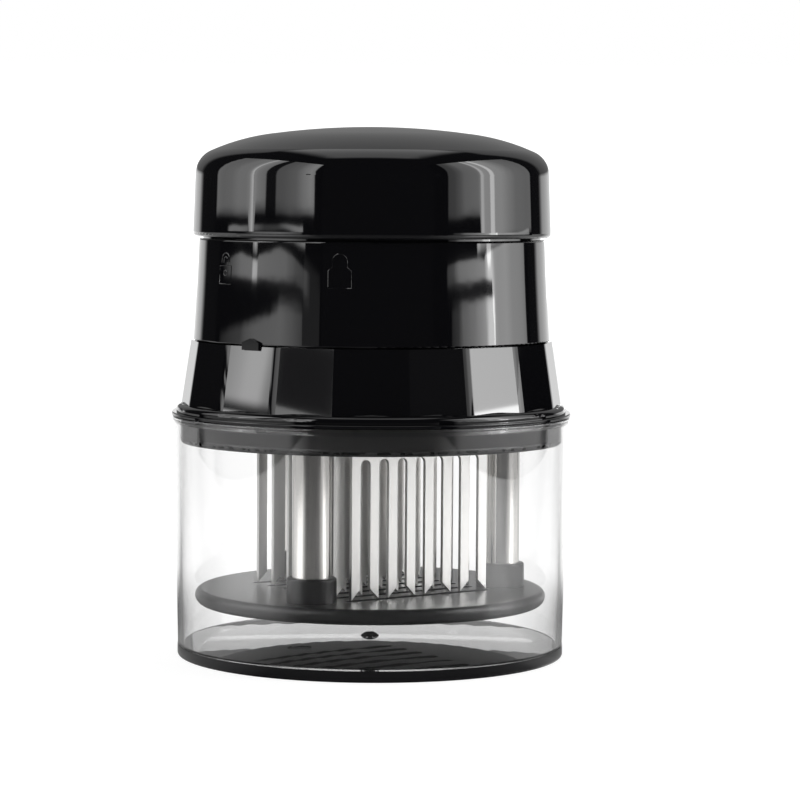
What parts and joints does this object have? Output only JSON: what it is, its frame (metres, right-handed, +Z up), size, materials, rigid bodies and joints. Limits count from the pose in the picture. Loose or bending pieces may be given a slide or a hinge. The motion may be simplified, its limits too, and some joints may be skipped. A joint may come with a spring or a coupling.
{
  "type": "blade meat tenderizer",
  "caption": "Round push-down meat tenderizer: rows of steel blade combs under a spring-held guard plate, a turning locking handle and a clear storage cup.",
  "frame": {"origin": "on the table, under the middle of the cup's base", "axes": "+Z up along the tool's axis, -Y towards the front, where the moulded pointer and the two lock signs show"},
  "size_m": [0.0818, 0.0818, 0.108],
  "materials": {
    "black_gloss": "polished black ABS",
    "black_base": "smooth black plastic",
    "black_inner": "as-moulded black plastic",
    "clear_plastic": "clear moulded plastic",
    "blade_steel": "stamped stainless steel",
    "tube_steel": "bright drawn stainless tube",
    "spring_steel": "bright spring wire",
    "screw_steel": "zinc-plated steel"
  },
  "bodies": {
    "cup": {"clear_cup": "clear_plastic", "cup_base": "black_base"},
    "housing": {"lower_housing": "black_gloss", "blade_holder": "black_inner", "comb_1": "blade_steel", "comb_2": "blade_steel", "comb_3": "blade_steel", "comb_4": "blade_steel", "comb_5": "blade_steel", "comb_6": "blade_steel", "comb_7": "blade_steel", "holder_screws": "screw_steel", "centre_column": "black_inner", "column_screws": "screw_steel", "hub_clip": "spring_steel", "spring_plate": "black_inner", "spring_plate_screw": "screw_steel", "return_spring_1": "spring_steel", "return_spring_2": "spring_steel", "return_spring_3": "spring_steel"},
    "guard": {"guard_plate": "black_gloss", "post_tube_1": "tube_steel", "post_tube_2": "tube_steel", "post_tube_3": "tube_steel", "post_stop_1": "tube_steel", "post_stop_2": "tube_steel", "post_stop_3": "tube_steel", "post_plug_1": "tube_steel", "post_plug_2": "tube_steel", "post_plug_3": "tube_steel", "post_screws": "screw_steel"},
    "handle": {"barrel": "black_gloss", "palm_cap": "black_gloss", "lock_disc": "black_inner", "lock_screws": "screw_steel"}
  },
  "joints": [
    {"name": "housing lift", "type": "slide", "parent": "cup", "child": "housing", "axis": [0, 0, 1], "range_m": [0, 0.05]},
    {"name": "guard slide", "type": "slide", "parent": "housing", "child": "guard", "axis": [0, 0, 1], "range_m": [0, 0.024], "stiffness_N_per_m": 900, "springref_m": -0.006, "deforming": ["return_spring_1", "return_spring_2", "return_spring_3"]},
    {"name": "lock turn", "type": "hinge", "parent": "housing", "child": "handle", "pos_m": [0, 0, 0.0598], "axis": [0, 0, 1], "range_deg": [-30, 15]}
  ]
}
